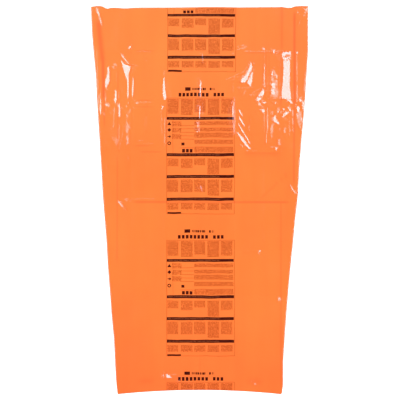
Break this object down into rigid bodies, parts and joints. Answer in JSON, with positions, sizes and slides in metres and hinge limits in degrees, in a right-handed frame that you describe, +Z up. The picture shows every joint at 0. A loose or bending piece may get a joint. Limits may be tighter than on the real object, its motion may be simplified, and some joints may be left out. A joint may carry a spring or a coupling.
{
  "type": "emergency survival bag, plastic, opened out flat",
  "caption": "Full-length orange film bag for shelter from wind and rain, open at the mouth and welded at the foot, lying flat with its packing creases.",
  "frame": {"origin": "centre of the bag's box, on the floor it lies on", "axes": "+Z up off the floor, +Y along the bag towards the open mouth, +X towards the right edge seen from above"},
  "size_m": [1.008, 1.803, 0.0218],
  "materials": {
    "film": "glossy orange polythene film, slightly see-through, with dark printing on the front"
  },
  "bodies": {
    "root": {"bag_film": "film"}
  },
  "joints": []
}
